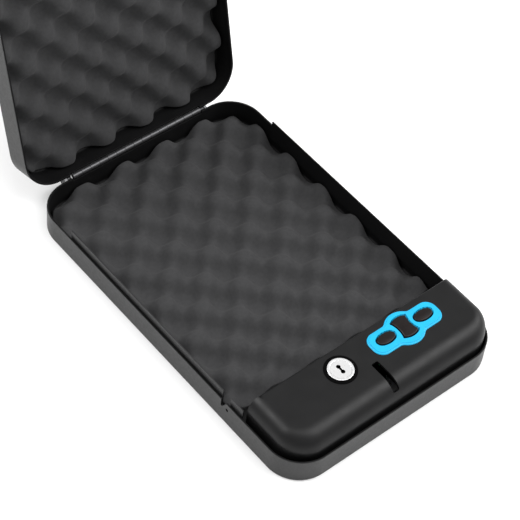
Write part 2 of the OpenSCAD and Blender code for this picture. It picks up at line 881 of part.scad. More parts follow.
// Rivets through a wall and its leaf: a head sunk into the wall, a flat head on the leaf
module leaf_rivets(z) {
    grip = wall_t + leaf_t;
    at_rivets(z) translate([0, inner_y, 0]) union() {
        translate([0, 0.1, 0]) rotate([-90, 0, 0])
            cylinder(r1 = rivet_sink_r, r2 = rivet_r, h = rivet_sink_t);
        translate([0, rivet_sink_t, 0]) rod_y(rivet_r, grip - rivet_sink_t + eps);
        translate([0, grip, 0]) rod_y(rivet_head_r, rivet_head_t);
    }
}

module hinge_rivets_base() {
    color(hinge_grey) leaf_rivets(pin_z - leaf_gap - rivet_drop);
}

// ---------- lid ----------

module lid_shell() {
    color(steel_black) swung_open() difference() {
        translate([0, 0, lid_z]) linear_extrude(lid_h) round_rect(body_w, body_d, corner_r);
        translate([0, 0, lid_z - wall_t]) linear_extrude(lid_h)
            round_rect(2 * inner_x, 2 * inner_y, corner_r - wall_t);
        // relief for the hinge barrel in the rear rim
        translate([-hinge_l / 2 - 0.5, inner_y - 1, pin_z - barrel_relief])
            cube([hinge_l + 1, wall_t + 2, 2 * barrel_relief]);
        // window over the keypad and hole over the key lock
        at_keypad(0, lid_top - wall_t - 1) translate(bezel_shift) linear_extrude(wall_t + 2)
            keypad_outline(bezel_l + 2 * lid_window_gap, bezel_w + 2 * lid_window_gap,
                bezel_end_r + lid_window_gap, bezel_mid_r + lid_window_gap);
        translate([lock_x, lock_y, lid_top - wall_t - 1]) cylinder(r = lid_lock_hole_r, h = wall_t + 2);
        at_rivets(pin_z + leaf_gap + rivet_drop) translate([0, inner_y, 0]) rivet_hole();
    }
}

module lid_foam() {
    color(foam_grey) swung_open() translate([0, 0, lid_top - wall_t - foam_t])
        foam_block();
}

module hinge_leaf_lid() {
    color(hinge_grey) swung_open() difference() {
        union() {
            translate([-hinge_l / 2, body_d / 2, pin_z + leaf_gap]) cube([hinge_l, leaf_t, leaf_h]);
            knuckles(1);
            knuckle_webs(1, true);
        }
        pin_bore();
        at_rivets(pin_z + leaf_gap + rivet_drop) translate([0, body_d / 2 - 1, 0])
            rod_y(rivet_r + fit, leaf_t + 2);
    }
}

module hinge_rivets_lid() {
    color(hinge_grey) swung_open() leaf_rivets(pin_z + leaf_gap + rivet_drop);
}

// Steel plate welded inside the lid; the latch bolt passes through its window
module striker() {
    top = lid_top - wall_t;
    color(bright_metal) swung_open() difference() {
        union() {
            translate([-striker_t, striker_front, striker_bottom])
                cube([striker_t, striker_rear - striker_front, top - striker_bottom]);
            translate([-striker_t - striker_foot_l, striker_front, top - striker_foot_t])
                cube([striker_foot_l + eps, 15, striker_foot_t]);
        }
        translate([-striker_t - 1, window_front, window_bottom])
            cube([striker_t + 2, window_rear - window_front, window_top - window_bottom]);
    }
}

base_shell();
guard_strip_left();
guard_tab_left();
guard_strip_right();
base_foam();
lock_housing();
housing_screws();
keypad_bezel();
keypad_board();
board_screws();
dome_switches();
key_left();
key_centre();
key_right();
lock_ring();
lock_barrel();
lock_nut();
lock_plug();
lock_cam();
cam_screw();
latch_bolt();
latch_guide();
guide_screws();
solenoid_frame();
solenoid_coil();
solenoid_plunger();
return_spring();
battery_tray();
battery();
battery_snap();
battery_door();
hinge_leaf_base();
hinge_pin();
hinge_rivets_base();
lid_shell();
lid_foam();
hinge_leaf_lid();
hinge_rivets_lid();
striker();
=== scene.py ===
import json
import math

import bpy
import bmesh
from mathutils import Matrix, Vector, noise
from mathutils.geometry import delaunay_2d_cdt


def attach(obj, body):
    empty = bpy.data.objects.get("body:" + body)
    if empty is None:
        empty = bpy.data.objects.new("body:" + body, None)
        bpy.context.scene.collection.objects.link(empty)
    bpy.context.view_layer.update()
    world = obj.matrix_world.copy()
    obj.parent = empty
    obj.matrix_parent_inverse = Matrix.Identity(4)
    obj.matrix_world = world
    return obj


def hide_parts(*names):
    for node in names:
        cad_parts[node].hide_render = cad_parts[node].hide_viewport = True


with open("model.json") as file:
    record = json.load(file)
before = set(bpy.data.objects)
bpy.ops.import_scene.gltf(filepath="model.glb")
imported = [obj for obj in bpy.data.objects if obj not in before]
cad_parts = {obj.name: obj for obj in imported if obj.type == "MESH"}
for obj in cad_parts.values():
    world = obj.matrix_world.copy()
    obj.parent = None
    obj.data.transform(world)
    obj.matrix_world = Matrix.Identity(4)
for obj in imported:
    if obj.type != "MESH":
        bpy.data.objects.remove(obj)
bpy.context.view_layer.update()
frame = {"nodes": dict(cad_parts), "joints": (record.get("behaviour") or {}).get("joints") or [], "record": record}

MM = 0.001  # metres in a millimetre
nodes = frame["nodes"]
lid_hinge = next(j for j in frame["joints"] if j["name"] == "lid_hinge")
PIN = Vector(lid_hinge["pos_m"]) / MM
OPEN = math.radians(lid_hinge["range_deg"][0])
SWING = Matrix.Translation(PIN) @ Matrix.Rotation(OPEN, 4, "X") @ Matrix.Translation(-PIN)

# Sizes, in millimetres, as in the CAD. Tray and lid: half width, half depth, corner radius
HALF_W, HALF_D, CORNER = 97.0, 150.0, 27.0
# wall, floor, height of the tray, rim and top of the shut lid
WALL, FLOOR, BASE_H = 1.5, 1.6, 21.0
LID_Z, LID_TOP = 21.6, 42.6
# lock housing: middle, half width, front, rear, top; corner radius, three edge radii, wall
HOUSE_X, HOUSE_W, HOUSE_FRONT, HOUSE_REAR, HOUSE_TOP = 1.4, 93.4, -146.0, -93.0, 37.5
HOUSE_CORNER, FRONT_EDGE, LEFT_EDGE, RIGHT_EDGE, HOUSE_T = 23.0, 15.0, 11.5, 9.0, 2.0
# middles of the keys' row, of the bezel and of the lock; spacing of the keys, gap round them
KEYPAD = (36.5, -108.2)
BEZEL = (35.8, -109.0)
KEY_DX, KEY_GAP = 17.53, 1.0
LOCK = (-24.2, -109.6)
# keypad outlines: half length, half width, end radius, middle radius, blend radius
BEZEL_SHAPE = (31.1, 10.0, 8.0, 14.8, 5.0)
LID_WINDOW_SHAPE = (33.6, 12.5, 10.5, 17.3, 5.0)
HOUSE_WINDOW_SHAPE = (28.0, 7.2, 7.0, 12.0, 4.0)
BEZEL_NECK_SHAPE = (27.98, 7.18, 6.9, 11.98, 4.0)
LID_LOCK_R, HOUSE_LOCK_R = 14.0, 9.52
# screws of the lock housing; then those of the latch guide
COVER_SCREWS = [(-80, -129), (80, -129), (-80, -98.5), (26, -98.5)]
GUIDE_SCREWS = [(-10, -130), (5.75, -130)]
# fixing holes in the floor, cuts for the knuckles, heights of the two rows of rivets
FIX_X, FIX_Y, FIX_R = 70, 75, 3.25
HINGE_CUT_HALF, HINGE_CUT_Z = 61, (18.85, 23.75)
RIVET_Z_BASE, RIVET_Z_LID = 13.55, 29.05
# foam: half width, rear edge, corner radius and front edge; heights of hollows and bumps
FOAM_HALF_W, FOAM_REAR, FOAM_CORNER, FOAM_FRONT = 93.2, 146.7, 23.6, -79.0
HOLLOW, BUMP = 1.6, 12.6


# ---------- mesh helpers ----------

def make(name, verts, faces, swing=False):
    """Mesh object from points in millimetres, with its faces turned outward."""
    mesh = bpy.data.meshes.new(name)
    points = [Vector(v) for v in verts]
    if swing:
        points = [SWING @ p for p in points]
    mesh.from_pydata([p * MM for p in points], [], faces)
    bm = bmesh.new()
    bm.from_mesh(mesh)
    bmesh.ops.recalc_face_normals(bm, faces=bm.faces)
    bm.to_mesh(mesh)
    bm.free()
    ob = bpy.data.objects.new(name, mesh)
    bpy.context.scene.collection.objects.link(ob)
    return ob


def skin(rings):
    """Points and faces of a closed skin over rings of equally many points."""
    n = len(rings[0])
    verts = [p for ring in rings for p in ring]
    faces = []
    for k in range(len(rings) - 1):
        for i in range(n):
            j = (i + 1) % n
            faces.append((k * n + i, k * n + j, (k + 1) * n + j, (k + 1) * n + i))
    faces.append(tuple(range(n)))
    faces.append(tuple(range((len(rings) - 1) * n, len(rings) * n)))
    return verts, faces


def round_rect(half_w, half_d, r, n=14):
    """Outline with round corners, each of n steps."""
    pts = []
    for sx, sy, start in ((1, 1, 0), (-1, 1, 90), (-1, -1, 180), (1, -1, 270)):
        for i in range(n + 1):
            a = math.radians(start + 90 * i / n)
            pts.append((sx * (half_w - r) + r * math.cos(a), sy * (half_d - r) + r * math.sin(a)))
    return pts


def circle(r, n=48):
    return [(r * math.cos(math.tau * i / n), r * math.sin(math.tau * i / n)) for i in range(n)]


def offset(pts, d):
    """Outline moved outward by d, for a counter-clockwise outline of close points."""
    out = []
    n = len(pts)
    for i in range(n):
        a, b, c = Vector(pts[i - 1]), Vector(pts[i]), Vector(pts[(i + 1) % n])
        u, v = (b - a).normalized(), (c - b).normalized()
        normal = (Vector((u.y, -u.x)) + Vector((v.y, -v.x))).normalized()
        out.append(tuple(b + normal * (d / max(0.5, normal.dot(Vector((u.y, -u.x)))))))
    return out


def at_height(pts, z, centre=(0, 0)):
    return [(x + centre[0], y + centre[1], z) for x, y in pts]


def quarter(n, start=0.0, end=90.0):
    return [math.radians(start + (end - start) * i / n) for i in range(n + 1)]


def prism(name, pts, z0, z1, centre=(0, 0), swing=False):
    return make(name, *skin([at_height(pts, z0, centre), at_height(pts, z1, centre)]), swing)


def block(name, x, y, z, swing=False):
    pts = [(x[0], y[0]), (x[1], y[0]), (x[1], y[1]), (x[0], y[1])]
    return prism(name, pts, z[0], z[1], swing=swing)


def rod(name, r, start, end, n=32, swing=False, end_r=None):
    """Round rod, or cone if end_r is given, between two points."""
    a, b = Vector(start), Vector(end)
    turn = (b - a).to_track_quat("Z", "Y")
    rings = [[tuple(p + turn @ Vector((x, y, 0))) for x, y in circle(radius, n)]
             for p, radius in ((a, r), (b, end_r or r))]
    return make(name, *skin(rings), swing)


def rivet_holes(z, swing=False):
    """Cuts for the row of four rivets, their heads sunk into the inside of the rear wall."""
    cuts = []
    inner = HALF_D - WALL
    for x in (-45, -15, 15, 45):
        cuts.append(rod("c", 1.54, (x, inner - 0.5, z), (x, HALF_D + 2, z), swing=swing))
        cuts.append(rod("c", 2.9, (x, inner - 0.15, z), (x, inner + 1.05, z), swing=swing, end_r=1.53))
    return cuts


def hinge_cut(swing=False):
    """Cut for the knuckles in the rear wall's rim."""
    across, deep = (-HINGE_CUT_HALF, HINGE_CUT_HALF), (HALF_D - 2.5, HALF_D + 2)
    return block("c", across, deep, HINGE_CUT_Z, swing=swing)


def bake_modifiers(ob):
    graph = bpy.context.evaluated_depsgraph_get()
    graph.update()
    mesh = bpy.data.meshes.new_from_object(ob.evaluated_get(graph))
    ob.modifiers.clear()
    ob.data = mesh


def boolean(ob, tools, how="DIFFERENCE"):
    """Cuts the tools out of the object, or adds them to it, and removes them."""
    mesh = bpy.data.meshes.new("tools")
    bm = bmesh.new()
    for t in tools:
        bm.from_mesh(t.data)
    bm.to_mesh(mesh)
    bm.free()
    joined = bpy.data.objects.new("tools", mesh)
    bpy.context.scene.collection.objects.link(joined)
    m = ob.modifiers.new("cut", "BOOLEAN")
    m.operation = how
    m.object = joined
    m.solver = "EXACT"
    bake_modifiers(ob)
    for t in [*tools, joined]:
        bpy.data.objects.remove(t)


def soften(ob, width, angle, weld=False):
    """Round edges of width mm where faces meet at more than angle degrees, and clean shading."""
    ob.data.shade_smooth()
    if weld:
        w = ob.modifiers.new("weld", "WELD")
        w.merge_threshold = 2e-6
    if width:
        b = ob.modifiers.new("edges", "BEVEL")
        b.width = width * MM
        b.segments = 2
        b.limit_method = "ANGLE"
        b.angle_limit = math.radians(angle)
        b.use_clamp_overlap = True
        b.miter_outer = "MITER_ARC"
    n = ob.modifiers.new("shading", "WEIGHTED_NORMAL")
    n.mode = "FACE_AREA"
    n.weight = 50
    n.keep_sharp = False


def settle(ob, body, stands_for, finish):
    """Gives a new piece its finish and its body, and hides the CAD nodes it stands for."""
    ob.data.materials.clear()
    ob.data.materials.append(finish)
    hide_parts(*stands_for)
    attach(ob, body)


# ---------- finishes ----------

def finish(name, color, rough, metal=0.0, spec=0.5, grain=(), mottle=(40, 0.12), rough_mottle=(120, 0.06),
           sheen=0.0, cells=None, brush=None, specks=None, painted_shade_below=None):
    """Principled finish. grain: (features per metre, depth in mm) of bump noises; mottle and rough_mottle:
    (features per metre, share of the colour or change of roughness); cells: (features per metre, depth in
    mm) of foam cells; specks: (features per metre, colour, strength) of dark dots; brush: axis along which
    the noises are stretched; painted_shade_below: heights in mm between which the colour fades to black,
    going down into a recess, as painted shade."""
    m = bpy.data.materials.new(name)
    m.use_nodes = True
    tree = m.node_tree
    tree.nodes.clear()
    link = tree.links.new

    def node(kind, **values):
        n = tree.nodes.new(kind)
        for k, v in values.items():
            setattr(n, k, v)
        return n

    out = node("ShaderNodeOutputMaterial")
    shader = node("ShaderNodeBsdfPrincipled")
    link(shader.outputs[0], out.inputs[0])
    shader.inputs["Metallic"].default_value = metal
    shader.inputs["Specular IOR Level"].default_value = spec
    shader.inputs["Sheen Weight"].default_value = sheen
    shader.inputs["Sheen Roughness"].default_value = 0.5
    place = node("ShaderNodeTexCoord")
    where = place.outputs["Object"]
    if brush:
        stretch = node("ShaderNodeMapping")
        stretch.inputs["Scale"].default_value = [0.04 if a == brush else 1.0 for a in "XYZ"]
        link(where, stretch.inputs["Vector"])
        where = stretch.outputs[0]

    def noisy(scale, detail=3.0):
        n = node("ShaderNodeTexNoise")
        n.inputs["Scale"].default_value = scale
        n.inputs["Detail"].default_value = detail
        link(where, n.inputs["Vector"])
        return n.outputs["Fac"]

    def spread(value, low, high):
        """Maps the middle of a noise's range to low..high."""
        r = node("ShaderNodeMapRange")
        r.inputs["From Min"].default_value = 0.3
        r.inputs["From Max"].default_value = 0.7
        r.inputs["To Min"].default_value = low
        r.inputs["To Max"].default_value = high
        link(value, r.inputs["Value"])
        return r.outputs[0]

    ramp = node("ShaderNodeMix", data_type="RGBA", blend_type="MIX")
    dark = [c * (1 - mottle[1]) for c in color]
    light = [min(1.0, c * (1 + mottle[1])) for c in color]
    ramp.inputs["A"].default_value = (*dark, 1)
    ramp.inputs["B"].default_value = (*light, 1)
    link(spread(noisy(mottle[0], 4.0), 0.0, 1.0), ramp.inputs["Factor"])
    tone = ramp.outputs["Result"]
    if specks:
        dots = node("ShaderNodeTexVoronoi")
        dots.inputs["Scale"].default_value = specks[0]
        link(where, dots.inputs["Vector"])
        near = node("ShaderNodeMapRange")
        near.inputs["From Min"].default_value = 0.12
        near.inputs["From Max"].default_value = 0.3
        near.inputs["To Min"].default_value = specks[2]
        near.inputs["To Max"].default_value = 0.0
        link(dots.outputs["Distance"], near.inputs["Value"])
        add = node("ShaderNodeMix", data_type="RGBA", blend_type="MIX")
        add.inputs["B"].default_value = (*specks[1], 1)
        link(near.outputs[0], add.inputs["Factor"])
        link(tone, add.inputs["A"])
        tone = add.outputs["Result"]
    # painted shade: the colour fades to black going down into a recess
    if painted_shade_below:
        split = node("ShaderNodeSeparateXYZ")
        link(place.outputs["Object"], split.inputs[0])
        fade = node("ShaderNodeMapRange")
        fade.inputs["From Min"].default_value = painted_shade_below[0] * MM
        fade.inputs["From Max"].default_value = painted_shade_below[1] * MM
        link(split.outputs["Z"], fade.inputs["Value"])
        deep = node("ShaderNodeMix", data_type="RGBA", blend_type="MIX")
        deep.inputs["A"].default_value = (0.002, 0.002, 0.002, 1)
        link(fade.outputs[0], deep.inputs["Factor"])
        link(tone, deep.inputs["B"])
        tone = deep.outputs["Result"]
    link(tone, shader.inputs["Base Color"])
    low, high = max(0.02, rough - rough_mottle[1]), min(1.0, rough + rough_mottle[1])
    link(spread(noisy(rough_mottle[0]), low, high), shader.inputs["Roughness"])
    last = None
    for scale, depth in grain:
        b = node("ShaderNodeBump")
        b.inputs["Strength"].default_value = 1.0
        b.inputs["Distance"].default_value = depth * MM
        link(noisy(scale, 2.0), b.inputs["Height"])
        if last:
            link(last.outputs[0], b.inputs["Normal"])
        last = b
    if cells:
        v = node("ShaderNodeTexVoronoi", feature="SMOOTH_F1")
        v.inputs["Scale"].default_value = cells[0]
        v.inputs["Smoothness"].default_value = 0.3
        link(where, v.inputs["Vector"])
        b = node("ShaderNodeBump")
        b.inputs["Distance"].default_value = cells[1] * MM
        link(v.outputs["Distance"], b.inputs["Height"])
        if last:
            link(last.outputs[0], b.inputs["Normal"])
        last = b
    if last:
        link(last.outputs[0], shader.inputs["Normal"])
    return m


F = {
    "case_steel": finish("powder_coat", (0.013, 0.013, 0.0133), 0.42, spec=0.35,
                         grain=((1500, 0.05), (420, 0.015)), mottle=(700, 0.16), rough_mottle=(500, 0.05)),
    "inner_steel": finish("phosphated_steel", (0.030, 0.030, 0.032), 0.45, metal=0.4, grain=((700, 0.02),),
                          mottle=(90, 0.2)),
    "housing_plastic": finish("grained_plastic", (0.0045, 0.0045, 0.0047), 0.42, spec=0.22,
                              grain=((1500, 0.018), (420, 0.008)), mottle=(35, 0.10),
                              rough_mottle=(80, 0.05)),
    "foam": finish("open_cell_foam", (0.0365, 0.0365, 0.0375), 0.95, spec=0.1,
                   grain=((2600, 0.05), (900, 0.03)), mottle=(420, 0.09), rough_mottle=(300, 0.04),
                   sheen=0.03, cells=(1700, 0.05),
                   specks=(1300, (0.014, 0.014, 0.015), 0.22)),
    "bezel_plastic": finish("cyan_plastic", (0.0085, 0.345, 0.585), 0.34, spec=0.32,
                            grain=((1400, 0.008),), mottle=(120, 0.04), rough_mottle=(200, 0.06)),
    "key_rubber": finish("key_rubber", (0.0065, 0.0042, 0.0038), 0.36, spec=0.20, grain=((2200, 0.012),),
                         mottle=(200, 0.15)),
    "black_plastic": finish("black_plastic", (0.004, 0.004, 0.0042), 0.5, spec=0.12, grain=((1500, 0.015),),
                            mottle=(60, 0.12)),
    "bright_metal": finish("bright_metal", (0.97, 0.97, 0.975), 0.30, metal=1.0, grain=((900, 0.003),),
                           mottle=(60, 0.03), rough_mottle=(500, 0.06)),
    "hinge_steel": finish("hinge_steel", (0.085, 0.085, 0.088), 0.42, metal=0.8, grain=((900, 0.006),),
                          mottle=(90, 0.14), rough_mottle=(300, 0.08), brush="X"),
    "plain_steel": finish("plain_steel", (0.44, 0.44, 0.45), 0.32, metal=1.0, grain=((1200, 0.006),),
                          mottle=(150, 0.10), rough_mottle=(400, 0.08)),
    "coil_copper": finish("coil_copper", (0.62, 0.25, 0.10), 0.28, metal=1.0, grain=((500, 0.03),),
                          mottle=(200, 0.15)),
    "circuit_board": finish("circuit_board", (0.015, 0.13, 0.05), 0.35, spec=0.5, grain=((500, 0.02),),
                            mottle=(240, 0.25)),
    "battery_case": finish("battery_case", (0.05, 0.05, 0.055), 0.3, metal=0.3, grain=((700, 0.005),),
                           mottle=(60, 0.1)),
}
# painted shade: a darker, duller copy of the powder coat for the inside of the tray and lid, standing in for the
# shade there
POWDER_COAT_PAINTED_SHADE = finish("inside_painted_shade", (0.0045, 0.0045, 0.0047), 0.6, spec=0.12,
                    grain=((900, 0.02), (260, 0.012)), mottle=(30, 0.10), rough_mottle=(60, 0.05))
# painted shade: the keyhole and the gap round the plug turn black below the top of the face, for the shade down in
# them
LOCK_FACE = finish("lock_face", (0.97, 0.97, 0.975), 0.30, metal=1.0, grain=((900, 0.002),),
                   mottle=(60, 0.03), rough_mottle=(500, 0.03), painted_shade_below=(38.25, 38.39))
# near-black ring round the lock face, with almost no reflection
BLACK_LOCK_RING = finish("black_lock_ring", (0.001, 0.001, 0.00105), 0.55, spec=0.03, grain=((1500, 0.015),),
                   mottle=(60, 0.1))
# the right guard strip and the rivet heads inside the rear wall get the same painted shade as the inner walls
SPECIAL = {
    "guard_strip_right": POWDER_COAT_PAINTED_SHADE, "hinge_rivets_base": POWDER_COAT_PAINTED_SHADE, "hinge_rivets_lid": POWDER_COAT_PAINTED_SHADE,
    "lock_plug": LOCK_FACE, "lock_barrel": LOCK_FACE, "lock_ring": BLACK_LOCK_RING,
}
for sub in frame["record"]["subparts"]:
    ob = nodes[sub["node"]]
    ob.data.materials.clear()
    ob.data.materials.append(SPECIAL.get(sub["node"], F[sub["material_slot"]]))

# ---------- camera ----------

AZ, EL, ROLL = [math.radians(a) for a in (-45.13, 50.08, 7.29)]
LOOK_AT, DISTANCE = Vector((0.0151, 0.0197, 0.0)), 1.3654
back = Vector((math.sin(AZ) * math.cos(EL), -math.cos(AZ) * math.cos(EL), math.sin(EL)))
right = Vector((math.cos(AZ), math.sin(AZ), 0))
up = back.cross(right)
cam_x = right * math.cos(ROLL) + up * math.sin(ROLL)
cam_y = up * math.cos(ROLL) - right * math.sin(ROLL)
cam_data = bpy.data.cameras.new("camera")
cam_data.lens, cam_data.sensor_width = 128.13, 36.0
cam_data.clip_start, cam_data.clip_end = 0.05, 50
camera = bpy.data.objects.new("camera", cam_data)
bpy.context.scene.collection.objects.link(camera)
turn = Matrix((cam_x, cam_y, back)).transposed().to_4x4()
camera.matrix_world = Matrix.Translation(LOOK_AT + back * DISTANCE) @ turn
bpy.context.scene.camera = camera

# ---------- tray and lid ----------


def pan(name, profile, swing=False):
    """Round-cornered pressing from a profile of (distance in from the outer face, height)."""
    rings = [at_height(round_rect(HALF_W - i, HALF_D - i, CORNER - i), z) for i, z in profile]
    return make(name, *skin(rings), swing)


def pan_profile(outer, inner, rim, edge=1.2, inside=2.0, lip=0.3):
    """outer: height of the outer flat face, inner: of the inner one, rim: of the rim; edge, inside and
    lip: radii of the pressing's outer and inner bends and of the rim's edges."""
    s = 1 if rim > outer else -1
    p = [(edge * (1 - math.sin(a)), outer + s * edge * (1 - math.cos(a))) for a in quarter(6)]
    p += [(lip * (1 - math.cos(a)), rim - s * lip * (1 - math.sin(a))) for a in quarter(3)]
    p += [(WALL - lip * (1 - math.cos(a)), rim - s * lip * (1 - math.sin(a))) for a in reversed(quarter(3))]
    p += [(WALL + inside * (1 - math.cos(a)), inner + s * inside * (1 - math.sin(a))) for a in quarter(5)]
    return p


def inside_painted_shade(ob, swing=False):
    """Gives the faces inside the walls a darker, duller copy of the powder coat: painted shade for the shade
    inside the walls.
    """
    past_outer_face, under_top = 0.7, 1.3
    ob.data.materials.append(POWDER_COAT_PAINTED_SHADE)
    back_again = SWING.inverted() if swing else Matrix.Identity(4)
    for face in ob.data.polygons:
        c = back_again @ (face.center / MM)
        u, v = abs(c.x) - (HALF_W - CORNER), abs(c.y) - (HALF_D - CORNER)
        depth = CORNER - (math.hypot(u, v) if min(u, v) > 0 else max(u, v))
        inside = depth > past_outer_face and FLOOR - 0.2 < c.z < LID_TOP - under_top
        face.material_index = 1 if inside else 0


tray = pan("case_tray", pan_profile(0.0, FLOOR, BASE_H))
# small round hole and cable notch (depth and height) in the left wall
CUT_X = (-HALF_W - 2, -HALF_W + 3)
HOLE_Y, HOLE_Z, HOLE_R = -78.6, 15.4, 1.3
NOTCH = [
    (-72, 23), (-72, 14.9), (-72.5, 14.4), (-73.1, 14.4), (-73.6, 14.9), (-76.9, 20.6), (-77.6, 21),
    (-77.6, 23),
]
# sunk screw hole, from below: radius and height
SCREW_SINK = ((3.05, -0.1), (2.95, 0), (1.54, 1.45), (1.54, 2.5))
cuts = [hinge_cut(), rod("c", HOLE_R, (CUT_X[0], HOLE_Y, HOLE_Z), (CUT_X[1], HOLE_Y, HOLE_Z))]
cuts.append(make("c", *skin([[(x, y, z) for y, z in NOTCH] for x in CUT_X])))
for sx in (-1, 1):
    for sy in (-1, 1):
        x, y = sx * FIX_X, sy * FIX_Y
        cuts.append(rod("c", FIX_R, (x, y, -1), (x, y, 3)))
for place in COVER_SCREWS + GUIDE_SCREWS:
    cuts.append(make("c", *skin([at_height(circle(r, 32), z, place) for r, z in SCREW_SINK])))
boolean(tray, cuts)
boolean(tray, rivet_holes(RIVET_Z_BASE))
soften(tray, 0.25, angle=50)
settle(tray, "base", ["base_shell"], F["case_steel"])
# painted shade: the faces inside the tray's walls get the darker copy of the coat
inside_painted_shade(tray)

lid = pan("lid_pan", pan_profile(LID_TOP, LID_TOP - WALL, LID_Z), swing=True)


def keypad_outline(half_l, half_w, end_r, mid_r, blend, n=8):
    """Bar with round corners and a round middle, joined by hollow curves."""
    reach = math.sqrt((mid_r + blend) ** 2 - (half_w + blend) ** 2)
    lean = math.atan2(half_w + blend, reach)
    q = [(half_l - end_r + end_r * math.cos(a), half_w - end_r + end_r * math.sin(a)) for a in quarter(n)]
    q += [(reach + blend * math.cos(a), half_w + blend + blend * math.sin(a))
          for a in quarter(n, -90, -180 + math.degrees(lean))]
    q += [(mid_r * math.cos(a), mid_r * math.sin(a)) for a in quarter(n, math.degrees(lean), 90)[1:]]
    half = q + [(-x, y) for x, y in reversed(q[:-1])]
    return half + [(-x, -y) for x, y in half if (-x, -y) not in half]


THROUGH_LID = (39, 44)
cuts = [
    hinge_cut(swing=True),
    prism("c", keypad_outline(*LID_WINDOW_SHAPE), *THROUGH_LID, BEZEL, swing=True),
    prism("c", circle(LID_LOCK_R), *THROUGH_LID, LOCK, swing=True),
]
boolean(lid, cuts)
boolean(lid, rivet_holes(RIVET_Z_LID, swing=True))
soften(lid, 0.25, angle=50)
settle(lid, "lid", ["lid_shell"], F["case_steel"])
# painted shade: the faces inside the lid's walls get the darker copy of the coat
inside_painted_shade(lid, swing=True)

# ---------- egg-crate foam ----------


def foam(name, front, peak, pitch, squeeze, base, way, seed, body, stands_for, swing=False):
    """Convoluted foam block: its cut sides stand on the plan outline, its top is a lattice of bumps.
    peak: one bump's place; pitch: half the distance between bumps; squeeze: how far the rows along the
    hinge are moved, as a share of the pitch, + towards the front; way: +1 bumps up, -1 bumps down."""
    half_w, rear, r = FOAM_HALF_W, FOAM_REAR, FOAM_CORNER
    least, most = 1.0, 12.95
    # noises: wavelength, and share of the pitch or height
    warp_wave, warp_share = 60, 0.10
    lump_wave, lump_height = 9, 0.2
    swell_wave, swell_height = 45, 0.3
    rough_wave, rough_mean, rough_range = 5, 0.5, 0.35
    squeezed_from, squeeze_over = 128, 16
    press_least, press_over = 0.62, 13
    side_step, lip_in = 1.7, 0.8
    shift = Vector((seed * 7.3, seed * 3.1, seed * 1.7))

    def height(x, y):
        u, v = (x - peak[0]) / pitch[0], (y - peak[1]) / pitch[1]
        warp = noise.noise(Vector((x / warp_wave, y / warp_wave, 0)) + shift) * warp_share
        # the rows along the hinge are moved, so that the cut edge shows full bumps
        v += squeeze * min(1.0, max(0.0, (y - squeezed_from) / squeeze_over))
        wave = math.cos(math.pi * (u + warp)) * math.cos(math.pi * (v - warp))
        t = 0.5 + 0.5 * wave
        steep = min(1.0, max(0.0, (t - 0.1) / 0.8))
        steep = steep * steep * (3 - 2 * steep)
        t = 0.5 * steep + 0.5 * t
        lump = noise.noise(Vector((x / lump_wave, y / lump_wave, 3)) + shift) * lump_height
        swell = noise.noise(Vector((x / swell_wave, y / swell_wave, 7)) + shift) * swell_height
        # the bumps get lower towards the front edge, so that the housing hides them
        pressed = press_least + (1 - press_least) * min(1.0, (y - front) / press_over)
        return max(least, min(most, (HOLLOW + (BUMP - HOLLOW) * t + lump + swell) * pressed))

    plan = [(-half_w, front), (half_w, front)]
    plan += [(half_w - r + r * math.cos(a), rear - r + r * math.sin(a)) for a in quarter(18)]
    plan += [(-half_w + r + r * math.cos(a), rear - r + r * math.sin(a)) for a in quarter(18, 90, 180)]
    dense = []
    for a, b in zip(plan, plan[1:] + plan[:1]):
        a, b = Vector(a), Vector(b)
        n = max(1, round((b - a).length / side_step))
        dense += [a.lerp(b, i / n) for i in range(n)]
    ragged = []
    n = len(dense)
    for i, p in enumerate(dense):
        t = (dense[(i + 1) % n] - dense[i - 1]).normalized()
        inward = Vector((-t.y, t.x))
        rough = noise.noise(Vector((p.x / rough_wave, p.y / rough_wave, 11)) + shift)
        rough = rough_mean + rough_range * rough
        ragged.append((p + inward * rough, inward))
    outer = [p for p, _ in ragged]
    lip = [p + w * lip_in for p, w in ragged]
    # grid points inside the lip
    step, margin = 1.75, 3.2
    inside = []
    y, row = front + margin, 0
    while y < rear - margin:
        x = -half_w + margin + (row % 2) * step / 2
        while x < half_w - margin:
            dx, dy = abs(x) - (half_w - r), y - (rear - r)
            if dx <= 0 or dy <= 0 or math.hypot(dx, dy) < r - margin:
                inside.append(Vector((x, y)))
            x += step
        y += step * 0.87
        row += 1
    pts = lip + inside
    flat, _, tris, _, _, _ = delaunay_2d_cdt(pts, [], [list(range(n))], 1, 1e-4)
    assert len(flat) == len(pts)
    verts = [(p.x, p.y, base + way * height(p.x, p.y)) for p in flat]
    faces = [tuple(t) for t in tris]
    last = list(range(n))
    # two rings round the lip's edge over to the upright sides
    edge_drop = 0.7
    for drop, out in ((0.25, 0.75), (edge_drop, 1.0)):
        start = len(verts)
        for k in range(n):
            p = lip[k].lerp(outer[k], out)
            verts.append((p.x, p.y, base + way * (height(lip[k].x, lip[k].y) - drop)))
        now = list(range(start, start + n))
        faces += [(last[k], last[(k + 1) % n], now[(k + 1) % n], now[k]) for k in range(n)]
        last = now
    for share in (0.5, 0.0):
        start = len(verts)
        for k in range(n):
            p = outer[k]
            top = height(lip[k].x, lip[k].y) - edge_drop
            verts.append((p.x, p.y, base + way * top * share))
        now = list(range(start, start + n))
        faces += [(last[k], last[(k + 1) % n], now[(k + 1) % n], now[k]) for k in range(n)]
        last = now
    faces.append(tuple(reversed(last)))
    ob = make(name, verts, faces, swing)
    ob.data.shade_smooth()
    ob.data.set_sharp_from_angle(angle=math.radians(60))
    settle(ob, body, stands_for, F["foam"])


foam("foam_base", FOAM_FRONT, (1.7, 95.1), (18.75, 18.75), 0.2, FLOOR, 1, 1, "base", ["base_foam"])
foam("foam_lid", FOAM_FRONT, (-57.3, 34.0), (18.45, 17.9), -0.2, LID_TOP - WALL, -1, 2, "lid", ["lid_foam"],
     swing=True)

# ---------- lock housing ----------


